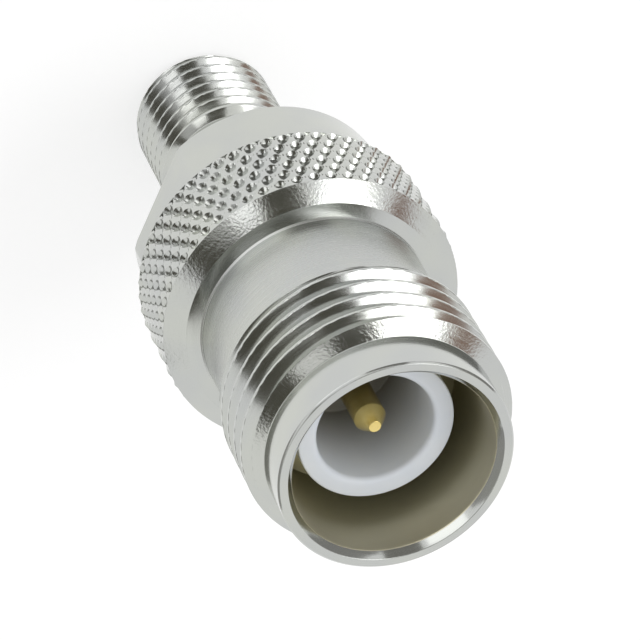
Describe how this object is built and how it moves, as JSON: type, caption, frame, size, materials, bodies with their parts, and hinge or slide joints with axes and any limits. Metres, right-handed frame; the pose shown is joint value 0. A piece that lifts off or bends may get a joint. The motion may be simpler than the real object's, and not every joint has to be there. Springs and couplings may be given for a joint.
{
  "type": "coax adapter",
  "caption": "Coaxial adapter: a threaded jack with a pin in a cup at one end, a smaller threaded jack with a socket at the other, and a knurled ring and wrench collar between them.",
  "frame": {"origin": "centre of the small jack's end face, on which the part stands", "axes": "+Z along the common axis, from the small jack to the large jack's mouth; +X out of one wrench flat"},
  "size_m": [0.0128, 0.0128, 0.028],
  "materials": {
    "nickel_plate": "bright nickel plate on turned brass",
    "white_insulator": "smooth, slightly translucent white fluoropolymer",
    "gold_plate": "thin gold plate on turned brass"
  },
  "bodies": {
    "root": {"front_shell": "nickel_plate", "rear_shell": "nickel_plate", "front_insulator": "white_insulator", "rear_insulator": "white_insulator", "centre_contact": "gold_plate"}
  },
  "joints": []
}
